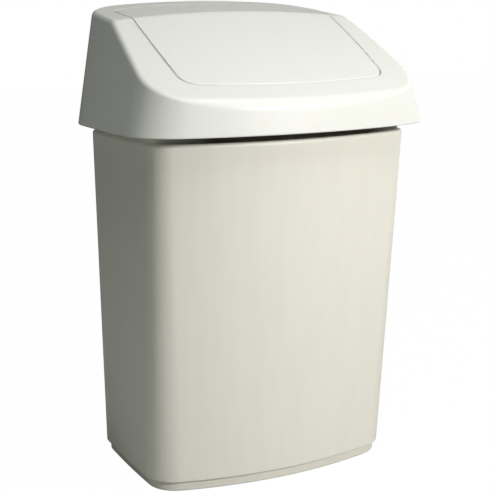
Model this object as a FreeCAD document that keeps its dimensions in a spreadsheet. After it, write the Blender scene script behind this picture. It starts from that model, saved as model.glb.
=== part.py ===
import FreeCAD, Part
import math
import os
import Sketcher

# A swing-top waste bin: a tapered bucket on a foot ring, a lift-off hood and a weighted flap.
# Millimetres, +Z up, the front of the bin faces -Y, the origin is under the middle of the bin.

doc = FreeCAD.newDocument("SwingBin")
sizes = doc.addObject("Spreadsheet::Sheet", "Sizes")

# Every rounded section has a foremost point, a flat rear side, a bulged front and four corners.
DIMENSIONS = {
    # the bin's overall size: the lower edge of the hood's skirt and the bucket's rim
    "skirt_half_width": 170.0,
    "skirt_front": 138.5,
    "skirt_rear": 138.5,
    "rim_height": 393.0,
    "skirt_bulge": 438.0,
    "skirt_front_corner": 60.0,
    "skirt_rear_corner": 84.0,
    "skirt_overlap": 12.0,
    "side_bulge": 1500.0,
    "widest_setback": 16.0,
    # the hood's walls lean inward from the skirt to the crest, a section above the roof
    "crest_side_lean": 36.0,
    "crest_front_lean": 11.5,
    "crest_rear_lean": 1.5,
    "crest_bulge": 315.0,
    "crest_front_corner": 66.0,
    "crest_rear_corner": 34.0,
    "crest_rise": 127.0,
    # the roof of the hood: a nearly level top strip, a ridge and a bowed front slope, all crowned
    "ridge_rise": 105.5,
    "ridge_setback": 30.0,
    "ridge_rounding": 26.0,
    "slope_angle": 27.6,
    "slope_bow": 2400.0,
    "slope_overrun": 12.0,
    "top_angle": 6.6,
    "top_overrun": 138.5,
    "crown_radius": 1322.0,
    "crown_turn": 24.0,
    "roof_rounding": 6.0,
    "roof_front_rounding": 17.0,
    "hood_wall": 2.5,
    # the bucket: its mouth stands back from the skirt and its base from the mouth
    "mouth_side_step": 20.0,
    "mouth_front_step": 17.5,
    "mouth_rear_step": 18.5,
    "mouth_bulge": 346.0,
    "mouth_front_corner": 31.0,
    "mouth_rear_corner": 46.0,
    "base_side_draft": 6.5,
    "base_front_draft": 40.0,
    "base_rear_draft": 4.0,
    "base_bulge": 422.0,
    "base_front_corner": 38.0,
    "base_rear_corner": 30.0,
    "base_height": 11.6,
    "shoulder_drop": 19.7,
    "shoulder_rounding": 4.0,
    "neck_inset": 5.0,
    "bucket_wall": 2.2,
    "floor_wall": 2.6,
    # the foot ring
    "foot_inset": 4.4,
    "foot_wall": 2.4,
    "foot_flange": 9.0,
    "foot_flange_wall": 2.2,
    "foot_rounding": 2.6,
    "foot_groove": 0.8,
    "foot_fit": 0.15,
    # the hood's seat on the rim of the bucket
    "seat_wall": 2.4,
    "seat_clearance": 0.3,
    "lip_depth": 12.0,
    "lip_wall": 2.2,
    "lip_clearance": 0.9,
    # the flap and its opening, set in from the skirt
    "flap_side_margin": 52.0,
    "flap_front_margin": 31.7,
    "flap_rear_margin": 38.5,
    "flap_bulge": 450.0,
    "flap_front_corner": 20.0,
    "flap_rear_corner": 20.0,
    "flap_wall": 2.4,
    "flap_edge": 7.0,
    "flap_edge_wall": 2.0,
    "flap_gap": 0.9,
    "opening_lip": 2.2,
    "ledge_width": 9.0,
    "ledge_wall": 2.4,
    "ledge_clearance": 0.4,
    # the pivot, the bearing brackets and the counterweight
    "pivot_setback": 30.0,
    "pivot_drop": 20.5,
    "pin_diameter": 8.0,
    "pin_head_diameter": 13.0,
    "pin_head": 2.5,
    "pin_tip": 1.5,
    "pin_running_fit": 0.05,
    "lug_wall": 5.0,
    "lug_radius": 9.5,
    "lug_inset": 2.5,
    "bracket_wall": 5.0,
    "bracket_radius": 10.0,
    "bracket_gap": 2.0,
    "side_play": 0.4,
    "bar_diameter": 12.0,
    "bar_side_margin": 18.0,
    "bar_rear_margin": 20.0,
    "bar_drop": 10.5,
    "saddle_wall": 5.0,
    "saddle_side_margin": 38.0,
    "saddle_margin": 3.0,
}
# Places that follow from those sizes.
PLACES = {
    "skirt_height": "rim_height - skirt_overlap",
    "crest_height": "rim_height + crest_rise",
    "ridge_height": "rim_height + ridge_rise",
    "shoulder_height": "rim_height - shoulder_drop",
    "crest_half_width": "skirt_half_width - crest_side_lean",
    "crest_front": "skirt_front - crest_front_lean",
    "crest_rear": "skirt_rear - crest_rear_lean",
    "mouth_half_width": "skirt_half_width - mouth_side_step",
    "mouth_front": "skirt_front - mouth_front_step",
    "mouth_rear": "skirt_rear - mouth_rear_step",
    "base_half_width": "mouth_half_width - base_side_draft",
    "base_front": "mouth_front - base_front_draft",
    "base_rear": "mouth_rear - base_rear_draft",
    "flap_half_width": "skirt_half_width - flap_side_margin",
    "flap_front": "skirt_front - flap_front_margin",
    "flap_rear": "skirt_rear - flap_rear_margin",
    "pivot_height": "ridge_height - pivot_drop",
    "bar_half_length": "flap_half_width - bar_side_margin",
    "bar_setback": "flap_rear - bar_rear_margin",
    "bar_height": "ridge_height - bar_drop",
    "saddle_spacing": "flap_half_width - saddle_side_margin",
}
for row, (alias, value) in enumerate(DIMENSIONS.items(), start=1):
    sizes.set("A%d" % row, alias)
    sizes.set("B%d" % row, str(value))
    sizes.setAlias("B%d" % row, alias)
doc.recompute()


def spelled_out(text):
    """The words of an expression, with every place written as the sizes it follows from."""
    words = []
    for word in text.replace("(", "( ").replace(")", " )").split():
        if word in PLACES:
            words += ["("] + spelled_out(PLACES[word]) + [")"]
        else:
            words.append(word)
    return words


def size(text):
    """The value of an expression such as 'skirt_front - hood_wall'."""
    return float(sizes.evalExpression(" ".join(spelled_out(text))))


def bound(text):
    """The same expression as another object writes it, with the sheet's name before each alias."""
    return " ".join("Sizes." + word if word in DIMENSIONS else word for word in spelled_out(text))


def new_body(name):
    body = doc.addObject("PartDesign::Body", name)
    body.Label = name
    return body


def new_sketch(body, name, plane, offset="0"):
    """A sketch on one of the body's origin planes, moved off it along the plane's normal."""
    sketch = body.newObject("Sketcher::SketchObject", name)
    support = [item for item in body.Origin.OriginFeatures if item.Role == plane][0]
    sketch.AttachmentSupport = [(support, "")]
    sketch.MapMode = "FlatFace"
    sketch.setExpression(".AttachmentOffset.Base.z", bound(offset))
    return sketch


def name_last(sketch, index, name, text):
    """Names a dimension of the sketch and binds it to the sheet."""
    sketch.renameConstraint(index, name)
    sketch.setExpression("Constraints." + name, bound(text))


def circle_meeting(first, first_radius, second, second_radius):
    """Where two circles meet, on the side that is out and to the front."""
    gap = second - first
    span = gap.Length
    along = (first_radius ** 2 - second_radius ** 2 + span ** 2) / (2 * span)
    across = math.sqrt(max(first_radius ** 2 - along ** 2, 0))
    middle = first + gap * (along / span)
    turn = FreeCAD.Vector(-gap.y, gap.x, 0) * (across / span)
    return max(middle + turn, middle - turn, key=lambda point: point.x - point.y)


def arc_between(centre, radius, start, end):
    circle = Part.Circle(centre, FreeCAD.Vector(0, 0, 1), radius)
    return Part.ArcOfCircle(circle, start, end)


def rounded_section(body, name, section, height, inset="0"):
    """A closed section seen from above: a bulged front, gently bulged sides, a straight rear
    side and four round corners, each side moved inward by the inset."""
    half_width = "%s_half_width - ( %s )" % (section, inset)
    front = "%s_front - ( %s )" % (section, inset)
    rear = "%s_rear - ( %s )" % (section, inset)
    bulge = "%s_bulge - ( %s )" % (section, inset)
    side = "side_bulge - ( %s )" % inset
    front_corner = "%s_front_corner - ( %s )" % (section, inset)
    rear_corner = "%s_rear_corner - ( %s )" % (section, inset)

    # the middles and directions of the eight pieces, worked out for the starting shape
    bulge_radius = size(bulge)
    side_radius = size(side)
    front_radius = size(front_corner)
    rear_radius = size(rear_corner)
    rear_line = size(rear)
    front_middle = FreeCAD.Vector(0, bulge_radius - size(front), 0)
    side_middle = FreeCAD.Vector(size(half_width) - side_radius, size("widest_setback"), 0)
    corner = circle_meeting(
        front_middle, bulge_radius - front_radius, side_middle, side_radius - front_radius
    )
    rear_drop = rear_line - rear_radius - side_middle.y
    rear_reach = math.sqrt((side_radius - rear_radius) ** 2 - rear_drop ** 2)
    rear_corner_middle = FreeCAD.Vector(side_middle.x + rear_reach, rear_line - rear_radius, 0)
    front_turn = math.atan2(corner.y - front_middle.y, corner.x)
    side_turn = math.atan2(corner.y - side_middle.y, corner.x - side_middle.x)
    rear_turn = math.atan2(rear_drop, rear_reach)

    def mirrored(point):
        return FreeCAD.Vector(-point.x, point.y, 0)

    sketch = new_sketch(body, name, "XY_Plane", height)
    half_turn = math.pi
    rear_left = FreeCAD.Vector(-rear_corner_middle.x, rear_line, 0)
    rear_right = FreeCAD.Vector(rear_corner_middle.x, rear_line, 0)
    sketch.addGeometry([
        arc_between(front_middle, bulge_radius, -half_turn - front_turn, front_turn),
        arc_between(corner, front_radius, front_turn, side_turn),
        arc_between(side_middle, side_radius, side_turn, rear_turn),
        arc_between(rear_corner_middle, rear_radius, rear_turn, half_turn / 2),
        Part.LineSegment(rear_right, rear_left),
        arc_between(mirrored(rear_corner_middle), rear_radius, half_turn / 2, half_turn - rear_turn),
        arc_between(mirrored(side_middle), side_radius, half_turn - rear_turn, half_turn - side_turn),
        arc_between(mirrored(corner), front_radius, half_turn - side_turn, half_turn - front_turn),
    ], False)
    for piece in range(8):
        following = (piece + 1) % 8
        end = 2
        start = 1
        sketch.addConstraint(Sketcher.Constraint("Tangent", piece, end, following, start))
    sketch.addConstraint(Sketcher.Constraint("Horizontal", 4))
    sketch.addConstraint(Sketcher.Constraint("PointOnObject", 0, 3, -2))
    centre = 3
    dimensions = [
        ("Radius", (0,), "bulge", bulge, bulge_radius),
        ("Radius", (2,), "right_side", side, side_radius),
        ("Radius", (6,), "left_side", side, side_radius),
        ("Radius", (1,), "right_front", front_corner, front_radius),
        ("Radius", (7,), "left_front", front_corner, front_radius),
        ("Radius", (3,), "right_rear", rear_corner, rear_radius),
        ("Radius", (5,), "left_rear", rear_corner, rear_radius),
        ("DistanceY", (-1, 1, 0, centre), "front_middle", "%s - ( %s )" % (bulge, front), None),
        ("DistanceX", (2, centre, -1, 1), "right_reach", "%s - ( %s )" % (side, half_width), None),
        ("DistanceX", (-1, 1, 6, centre), "left_reach", "%s - ( %s )" % (side, half_width), None),
        ("DistanceY", (-1, 1, 2, centre), "right_widest", "widest_setback", None),
        ("DistanceY", (-1, 1, 6, centre), "left_widest", "widest_setback", None),
        ("DistanceY", (-1, 1, 4, 1), "rear_line", rear, None),
    ]
    for kind, geometry, title, text, value in dimensions:
        start_value = size(text) if value is None else value
        index = sketch.addConstraint(Sketcher.Constraint(kind, *geometry, start_value))
        name_last(sketch, index, title, text)
    return sketch


def loft(body, name, kind, upper, lower):
    """Straight walls between two sections; from the upper one down, the solid faces outward."""
    feature = body.newObject(kind, name)
    feature.Profile = upper
    feature.Sections = [lower]
    feature.Ruled = True
    return feature


def pad(body, name, sketch, length, kind="PartDesign::Pad"):
    """A sketch raised by a length, or with a Pocket, cut down by it."""
    feature = body.newObject(kind, name)
    feature.Profile = sketch
    feature.setExpression("Length", bound(length))
    return feature


def fillet(body, name, base, edges, radius):
    feature = body.newObject("PartDesign::Fillet", name)
    feature.Base = (base, ["Edge%d" % number for number in edges])
    feature.setExpression("Radius", bound(radius))
    return feature


def edges_at(shape, height):
    """The numbers of the edges that lie at one height."""
    found = []
    for number, edge in enumerate(shape.Edges, start=1):
        box = edge.BoundBox
        if abs(box.ZMin - height) < 0.01 and abs(box.ZMax - height) < 0.01:
            found.append(number)
    return found


def boolean(kind, name, pieces):
    """A Part boolean: pieces are (Base, Tool) for Cut and a list for the others."""
    result = doc.addObject(kind, name)
    if kind == "Part::Cut":
        result.Base, result.Tool = pieces
    else:
        result.Shapes = pieces
    result.Label = name
    return result


def drilled(name, diameter, length, x, y, z):
    """A cylinder along X that starts at x; each argument is an expression."""
    rod = doc.addObject("Part::Cylinder", name)
    rod.setExpression("Radius", bound("( %s ) / 2" % diameter))
    rod.setExpression("Height", bound(length))
    rod.Placement.Rotation = FreeCAD.Rotation(FreeCAD.Vector(0, 1, 0), 90)
    rod.setExpression(".Placement.Base.x", bound(x))
    rod.setExpression(".Placement.Base.y", bound(y))
    rod.setExpression(".Placement.Base.z", bound(z))
    return rod


def block(name, length, width, height, x, y, z):
    """A box whose lowest corner is at x, y, z; each argument is an expression."""
    box = doc.addObject("Part::Box", name)
    box.setExpression("Length", bound(length))
    box.setExpression("Width", bound(width))
    box.setExpression("Height", bound(height))
    box.setExpression(".Placement.Base.x", bound(x))
    box.setExpression(".Placement.Base.y", bound(y))
    box.setExpression(".Placement.Base.z", bound(z))
    return box


# ---- bucket ---------------------------------------------------------------------------------
bucket = new_body("bucket")
base_line = rounded_section(bucket, "base_line", "base", "base_height")
mouth_line = rounded_section(bucket, "mouth_line", "mouth", "shoulder_height")
loft(bucket, "outer_wall", "PartDesign::AdditiveLoft", mouth_line, base_line)
doc.recompute()
shoulder = fillet(
    bucket, "shoulder", bucket.Tip, edges_at(bucket.Shape, size("shoulder_height")),
    "shoulder_rounding",
)
neck_foot = "shoulder_height - shoulder_rounding - bucket_wall"
neck_line = rounded_section(bucket, "neck_line", "mouth", neck_foot, "neck_inset")
pad(bucket, "neck", neck_line, "rim_height - ( %s )" % neck_foot)
spigot_inset = "foot_inset + foot_wall + foot_fit"
spigot_line = rounded_section(bucket, "spigot_line", "base", "foot_flange_wall", spigot_inset)
pad(bucket, "spigot", spigot_line, "base_height - foot_flange_wall + floor_wall / 2")
doc.recompute()
inner_base = rounded_section(
    bucket, "inner_base", "base", "base_height + floor_wall", "bucket_wall"
)
inner_mouth = rounded_section(
    bucket, "inner_mouth", "mouth", "shoulder_height - bucket_wall", "bucket_wall"
)
loft(bucket, "inside", "PartDesign::SubtractiveLoft", inner_mouth, inner_base)
tray_line = rounded_section(
    bucket, "tray_line", "base", "base_height + floor_wall", spigot_inset + " + bucket_wall"
)
pad(bucket, "tray", tray_line, "base_height - foot_flange_wall", "PartDesign::Pocket")
neck_inside = rounded_section(bucket, "neck_inside", "mouth", "rim_height", "neck_inset + bucket_wall")
pad(
    bucket, "throat", neck_inside, "rim_height - shoulder_height + 2 * bucket_wall",
    "PartDesign::Pocket",
)
doc.recompute()


# ---- foot ring ------------------------------------------------------------------------------
foot_ring = new_body("foot_ring")
foot_line = rounded_section(foot_ring, "foot_line", "base", "0", "foot_inset")
pad(foot_ring, "ring", foot_line, "base_height - foot_groove")
doc.recompute()
fillet(foot_ring, "tread", foot_ring.Tip, edges_at(foot_ring.Shape, 0), "foot_rounding")
spigot_seat = rounded_section(
    foot_ring, "spigot_pocket_line", "base", "base_height - foot_groove", "foot_inset + foot_wall"
)
pad(
    foot_ring, "spigot_pocket", spigot_seat, "base_height - foot_groove - foot_flange_wall",
    "PartDesign::Pocket",
)
flange_hole = rounded_section(
    foot_ring, "flange_hole", "base", "base_height", "foot_inset + foot_wall + foot_flange"
)
pad(foot_ring, "open_middle", flange_hole, "2 * base_height", "PartDesign::Pocket")
doc.recompute()


# ---- the crowned roof that the hood and the flap share --------------------------------------
def roof(name, drop):
    """Everything under the crowned roof, lowered by the drop: a side profile turned about an
    axis along Y that lies far below the bin."""
    body = new_body(name)
    profile = new_sketch(body, name + "_profile", "YZ_Plane")
    profile.setExpression(".AttachmentOffset.Base.y", bound("ridge_height - crown_radius"))
    front_end = "skirt_front + slope_overrun"
    rear_end = "skirt_rear + top_overrun"
    ridge = "crown_radius - ( %s )" % drop
    rear_top = "%s + ( %s - ridge_setback ) * tan( top_angle * 1deg )" % (ridge, rear_end)
    front_top = "%s - ( %s + ridge_setback ) * tan( slope_angle * 1deg )" % (ridge, front_end)
    bow = "slope_bow - ( %s )" % drop
    floor = "crown_radius - ridge_height"
    corners = [
        FreeCAD.Vector(-size(front_end), size(floor), 0),
        FreeCAD.Vector(size(rear_end), size(floor), 0),
        FreeCAD.Vector(size(rear_end), size(rear_top), 0),
        FreeCAD.Vector(size("ridge_setback"), size(ridge), 0),
        FreeCAD.Vector(-size(front_end), size(front_top), 0),
    ]
    count = len(corners)
    chord = corners[4] - corners[3]
    bow_drop = math.sqrt(size(bow) ** 2 - (chord.Length / 2) ** 2) / chord.Length
    bow_middle = corners[3] + chord / 2 + FreeCAD.Vector(-chord.y, chord.x, 0) * bow_drop
    to_ridge = corners[3] - bow_middle
    to_front = corners[4] - bow_middle
    for corner in range(count):
        line = Part.LineSegment(corners[corner], corners[(corner + 1) % count])
        if corner == 3:
            line = arc_between(
                bow_middle, size(bow), math.atan2(to_ridge.y, to_ridge.x),
                math.atan2(to_front.y, to_front.x),
            )
        profile.addGeometry(line, False)
    for corner in range(count):
        profile.addConstraint(Sketcher.Constraint("Coincident", corner, 2, (corner + 1) % count, 1))
    profile.addConstraint(Sketcher.Constraint("Horizontal", 0))
    profile.addConstraint(Sketcher.Constraint("Vertical", 1))
    profile.addConstraint(Sketcher.Constraint("Vertical", 4))
    dimensions = [
        ("DistanceX", (0, 1, -1, 1), "front_end", front_end),
        ("DistanceX", (-1, 1, 0, 2), "rear_end", rear_end),
        ("DistanceX", (-1, 1, 2, 2), "ridge_setback", "ridge_setback"),
        ("DistanceY", (-1, 1, 0, 1), "floor", floor),
        ("DistanceY", (-1, 1, 1, 2), "rear_top", rear_top),
        ("DistanceY", (-1, 1, 2, 2), "ridge", ridge),
        ("DistanceY", (-1, 1, 3, 2), "front_top", front_top),
        ("Radius", (3,), "bow", bow),
    ]
    for kind, geometry, title, text in dimensions:
        index = profile.addConstraint(Sketcher.Constraint(kind, *geometry, size(text)))
        name_last(profile, index, title, text)
    turned = body.newObject("PartDesign::Revolution", name + "_turned")
    turned.Profile = profile
    turned.ReferenceAxis = (profile, ["H_Axis"])
    turned.setExpression("Angle", bound("crown_turn"))
    turned.Midplane = True
    doc.recompute()
    ridge_edges = []
    for number, edge in enumerate(body.Shape.Edges, start=1):
        middle = edge.valueAt((edge.FirstParameter + edge.LastParameter) / 2)
        on_ridge = abs(middle.y - size("ridge_setback")) < 0.01
        if on_ridge and abs(middle.z - size("ridge_height - ( %s )" % drop)) < 0.01:
            ridge_edges.append(number)
    fillet(body, name + "_ridge", turned, ridge_edges, "ridge_rounding - ( %s )" % drop)
    return body


def column(name, inset):
    """The hood's leaning walls, from the skirt's edge up past the roof."""
    body = new_body(name)
    upper = rounded_section(body, name + "_upper", "crest", "crest_height", inset)
    lower = rounded_section(body, name + "_lower", "skirt", "skirt_height", inset)
    loft(body, name + "_walls", "PartDesign::AdditiveLoft", upper, lower)
    return body


def prism(name, section, inset, bottom, length):
    """An upright prism with a rounded section, from the bottom up."""
    body = new_body(name)
    line = rounded_section(body, name + "_line", section, bottom, inset)
    pad(body, name + "_pad", line, length)
    return body


def frame(name, section, outer_inset, inner_inset, bottom, length):
    """The wall between two insets of one section."""
    outer = prism(name + "_outer", section, outer_inset, bottom, length)
    inner = prism(name + "_inner", section, inner_inset, bottom, length)
    return boolean("Part::Cut", name, (outer, inner))


def layer(name, upper, lower):
    """What lies between two roofs of different drop."""
    return boolean("Part::Cut", name, (upper, lower))


def rounded_dome(name, walls, cover, inset):
    """Walls under a roof. The edge between them is rounded, more along the front than along
    the sides and the rear, and runs from one radius to the other round the front corners."""
    dome = boolean("Part::MultiCommon", name + "_sharp", [walls, cover])
    doc.recompute()
    rim_edges = []
    for number, edge in enumerate(dome.Shape.Edges, start=1):
        upward = []
        for face in dome.Shape.ancestorsOfType(edge, Part.Face):
            middle = edge.valueAt((edge.FirstParameter + edge.LastParameter) / 2)
            across, along = face.Surface.parameter(middle)
            upward.append(abs(face.normalAt(across, along).z) > 0.6)
        if edge.BoundBox.ZMin > size("skirt_height") + 1 and sorted(upward) == [False, True]:
            rim_edges.append(number)
    result = doc.addObject("Part::Fillet", name)
    result.Base = dome
    front_radius = size("roof_front_rounding - ( %s )" % inset)
    radius = size("roof_rounding - ( %s )" % inset)
    rounded = []
    for number in rim_edges:
        ends = []
        for vertex in dome.Shape.Edges[number - 1].Vertexes:
            ends.append(front_radius if vertex.Point.y < -size("skirt_front") / 2 else radius)
        rounded.append((number, ends[0], ends[1]))
    result.Edges = rounded
    result.Label = name
    doc.recompute()
    return result


outer_roof = roof("outer_roof", "0")
inner_roof = roof("inner_roof", "hood_wall")
outer_column = column("outer_column", "0")
inner_column = column("inner_column", "hood_wall")
outer_dome = rounded_dome("outer_dome", outer_column, outer_roof, "0")
inner_dome = rounded_dome("inner_dome", inner_column, inner_roof, "hood_wall")


def mirrored_copy(name, source):
    """The same piece on the other side of the bin's middle plane."""
    copy = doc.addObject("Part::Mirroring", name)
    copy.Source = source
    copy.Base = (0, 0, 0)
    copy.Normal = (1, 0, 0)
    copy.Label = name
    return copy


def hanging_plate(name, start, wall, radius, cover):
    """A plate along YZ with a round end at the pivot, hanging from the underside of a roof."""
    disc = drilled(name + "_disc", "2 * " + radius, wall, start, "pivot_setback", "pivot_height")
    web = block(
        name + "_web", wall, "2 * " + radius, "crest_height - pivot_height", start,
        "pivot_setback - " + radius, "pivot_height",
    )
    plate = boolean("Part::MultiFuse", name + "_plate", [disc, web])
    return boolean("Part::MultiCommon", name, [plate, cover])


# ---- hood -----------------------------------------------------------------------------------
hood_shell = boolean("Part::Cut", "hood_shell", (outer_dome, inner_dome))

# the seat: a level web inside the skirt that rests on the bucket's rim, and a locating lip
seat_bottom = "rim_height + seat_clearance"
seat_column = column("seat_column", "hood_wall / 2")
seat_slab = block(
    "seat_slab", "2 * skirt_half_width", "skirt_front + skirt_rear", "seat_wall",
    "0 - skirt_half_width", "0 - skirt_front", seat_bottom,
)
seat_plate = boolean("Part::MultiCommon", "seat_plate", [seat_column, seat_slab])
lip_outer = "neck_inset + bucket_wall + lip_clearance"
lip_inner = lip_outer + " + lip_wall"
lip_bottom = "rim_height + seat_clearance - lip_depth"
throat_cut = prism("throat_cut", "mouth", lip_inner, lip_bottom + " - 1", "lip_depth + seat_wall + 2")
seat_lip = prism("seat_lip", "mouth", lip_outer, lip_bottom, "lip_depth + seat_wall / 2")
seat_solid = boolean("Part::MultiFuse", "seat_solid", [seat_plate, seat_lip])
seat = boolean("Part::Cut", "seat", (seat_solid, throat_cut))

# the turned-down lip round the flap's opening, and the ledge that the flap's rear edge rests on
opening_inset = "0 - flap_gap"
opening_outer = "0 - flap_gap - opening_lip"
lip_drop = "flap_edge + ledge_clearance + ledge_wall"
opening_height = "crest_height - skirt_height"
opening_ring = frame(
    "opening_ring", "flap", opening_outer, opening_inset, "skirt_height", opening_height
)
deep_roof = roof("deep_roof", lip_drop)
mid_wall_roof = roof("mid_wall_roof", "hood_wall / 2")
lip_layer = layer("lip_layer", mid_wall_roof, deep_roof)
opening_lip = boolean("Part::MultiCommon", "opening_lip", [opening_ring, lip_layer])
ledge_roof = roof("ledge_roof", "flap_edge + ledge_clearance")
ledge_layer = layer("ledge_layer", ledge_roof, deep_roof)
ledge_ring = frame(
    "ledge_ring", "flap", opening_outer, "ledge_width", "skirt_height", opening_height
)
ledge_area = block(
    "ledge_area", "2 * ( flap_half_width - flap_rear_corner )", "2 * flap_rear", "crest_height",
    "flap_rear_corner - flap_half_width", "flap_rear - flap_rear_corner", "0",
)
rear_ledge = boolean("Part::MultiCommon", "rear_ledge", [ledge_ring, ledge_layer, ledge_area])

bracket_start = "flap_half_width + bracket_gap"
right_bracket = hanging_plate(
    "right_bracket", bracket_start, "bracket_wall", "bracket_radius", mid_wall_roof
)
left_bracket = mirrored_copy("left_bracket", right_bracket)
opening_prism = prism("opening_prism", "flap", opening_inset, "skirt_height", opening_height)
hood_rimmed = boolean("Part::MultiFuse", "hood_rimmed", [hood_shell, opening_lip])
hood_open = boolean("Part::Cut", "hood_open", (hood_rimmed, opening_prism))
hood_solid = boolean(
    "Part::MultiFuse", "hood_solid", [hood_open, seat, rear_ledge, right_bracket, left_bracket]
)
bracket_end = "( %s + bracket_wall )" % bracket_start
pin_bore = drilled(
    "pin_bore", "pin_diameter", "2 * %s + 2" % bracket_end, "0 - %s - 1" % bracket_end,
    "pivot_setback", "pivot_height",
)
hood = boolean("Part::Cut", "hood", (hood_solid, pin_bore))

# ---- swing flap -----------------------------------------------------------------------------
flap_prism = prism("flap_prism", "flap", "0", "skirt_height", opening_height)
under_panel_roof = roof("under_panel_roof", "flap_wall")
panel_layer = layer("panel_layer", outer_roof, under_panel_roof)
panel = boolean("Part::MultiCommon", "panel", [flap_prism, panel_layer])
edge_roof = roof("edge_roof", "flap_edge")
edge_layer = layer("edge_layer", outer_roof, edge_roof)
edge_ring = frame("edge_ring", "flap", "0", "flap_edge_wall", "skirt_height", opening_height)
edge = boolean("Part::MultiCommon", "edge", [edge_ring, edge_layer])

mid_panel_roof = roof("mid_panel_roof", "flap_wall / 2")
lug_start = "flap_half_width - lug_inset - lug_wall"
right_lug = hanging_plate("right_lug", lug_start, "lug_wall", "lug_radius", mid_panel_roof)
left_lug = mirrored_copy("left_lug", right_lug)


def saddle(name, middle):
    """A plate under the flap that the counterweight bar passes through."""
    half = "( bar_diameter / 2 + saddle_margin )"
    plate = block(
        name + "_block", "saddle_wall", "2 * " + half, "crest_height - bar_height + " + half,
        "%s - saddle_wall / 2" % middle, "bar_setback - " + half, "bar_height - " + half,
    )
    return boolean("Part::MultiCommon", name, [plate, mid_panel_roof])


saddles = [
    saddle("left_saddle", "0 - saddle_spacing"),
    saddle("middle_saddle", "0"),
    saddle("right_saddle", "saddle_spacing"),
]
flap_solid = boolean("Part::MultiFuse", "flap_solid", [panel, edge, right_lug, left_lug] + saddles)
lug_bore = drilled(
    "lug_bore", "pin_diameter + 2 * pin_running_fit", "2 * flap_half_width",
    "0 - flap_half_width", "pivot_setback", "pivot_height",
)
bar_bore = drilled(
    "bar_bore", "bar_diameter", "2 * saddle_spacing + 2 * saddle_wall",
    "0 - saddle_spacing - saddle_wall", "bar_setback", "bar_height",
)
flap_bores = boolean("Part::MultiFuse", "flap_bores", [lug_bore, bar_bore])
swing_flap = boolean("Part::Cut", "swing_flap", (flap_solid, flap_bores))

# ---- pivot pins and counterweight -----------------------------------------------------------
head_start = "( %s - side_play - pin_head )" % lug_start
pin_shank = drilled(
    "pin_shank", "pin_diameter", "%s + pin_tip - %s" % (bracket_end, head_start), head_start,
    "pivot_setback", "pivot_height",
)
pin_head = drilled(
    "pin_head_disc", "pin_head_diameter", "pin_head", head_start, "pivot_setback", "pivot_height"
)
right_pivot_pin = boolean("Part::MultiFuse", "right_pivot_pin", [pin_shank, pin_head])
left_pivot_pin = mirrored_copy("left_pivot_pin", right_pivot_pin)
counterweight_bar = drilled(
    "counterweight_bar", "bar_diameter", "2 * bar_half_length", "0 - bar_half_length", "bar_setback",
    "bar_height",
)

# ---- checks and files -----------------------------------------------------------------------
NODES = [
    bucket, foot_ring, hood, swing_flap, right_pivot_pin, left_pivot_pin, counterweight_bar
]
doc.recompute()
for item in doc.Objects:
    if "Invalid" in item.State or "Error" in item.State:
        raise RuntimeError("%s did not build" % item.Label)
os.makedirs("parts", exist_ok=True)
for node in NODES:
    if node.Shape.isNull() or not node.Shape.isValid():
        raise RuntimeError("%s has no valid shape" % node.Label)
    node.Shape.exportStep("parts/%s.step" % node.Label)
    print(node.Label, len(node.Shape.Solids), round(node.Shape.Volume))
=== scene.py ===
import bpy
import numpy as np
from mathutils import Matrix, Vector


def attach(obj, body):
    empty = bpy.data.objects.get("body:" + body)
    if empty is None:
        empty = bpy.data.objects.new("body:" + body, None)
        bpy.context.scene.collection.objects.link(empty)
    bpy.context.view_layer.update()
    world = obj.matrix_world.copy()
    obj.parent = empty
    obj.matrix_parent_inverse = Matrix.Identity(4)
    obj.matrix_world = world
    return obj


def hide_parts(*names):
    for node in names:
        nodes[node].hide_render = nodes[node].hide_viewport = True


# A swing-top waste bin in satin cream plastic. The front faces -Y, and lengths in the
# dictionaries are millimetres; putMesh turns them into metres.
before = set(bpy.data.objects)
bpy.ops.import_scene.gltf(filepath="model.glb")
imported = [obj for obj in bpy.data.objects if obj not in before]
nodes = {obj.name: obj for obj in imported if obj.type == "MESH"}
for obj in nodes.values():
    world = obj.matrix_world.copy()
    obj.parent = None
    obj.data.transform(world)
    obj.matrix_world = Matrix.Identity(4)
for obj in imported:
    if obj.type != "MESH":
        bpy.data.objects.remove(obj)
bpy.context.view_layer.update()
print("frame loaded:", ", ".join(sorted(nodes)))

# ---- outlines seen from above ----

sides = {"bulge": 1500.0, "widest": 16.0}
skirt = {"halfWidth": 170.0, "front": 138.5, "rear": 138.5, "bulge": 438.0,
         "frontCorner": 60.0, "rearCorner": 84.0, "height": 381.0}
crest = {"halfWidth": 134.0, "front": 127.0, "rear": 137.0, "bulge": 315.0,
         "frontCorner": 66.0, "rearCorner": 34.0, "height": 520.0}
mouth = {"halfWidth": 150.0, "front": 121.0, "rear": 120.0, "bulge": 346.0,
         "frontCorner": 31.0, "rearCorner": 46.0, "height": 373.3}
base = {"halfWidth": 143.5, "front": 81.0, "rear": 116.0, "bulge": 422.0,
        "frontCorner": 38.0, "rearCorner": 30.0, "height": 11.6}
flapLine = {"halfWidth": 118.0, "front": 106.8, "rear": 100.0, "bulge": 450.0,
            "frontCorner": 20.0, "rearCorner": 20.0}
steps = {"front": 30, "frontCorner": 26, "frontSide": 24, "rearSide": 18, "rearCorner": 18,
         "rear": 16, "growth": 1.12}


def circlesMeet(first, firstRadius, second, secondRadius):
    # where two circles cross: along the line of centres by (r1^2 - r2^2 + d^2) / 2d, then
    # square to it by what Pythagoras leaves; the crossing on the outer front side is kept
    span = second - first
    d = np.hypot(*span)
    along = (firstRadius ** 2 - secondRadius ** 2 + d ** 2) / (2 * d)
    across = np.sqrt(max(firstRadius ** 2 - along ** 2, 0.0))
    middle = first + span * along / d
    turn = np.array([-span[1], span[0]]) * across / d
    return max(middle + turn, middle - turn, key=lambda p: p[0] - p[1])


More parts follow.
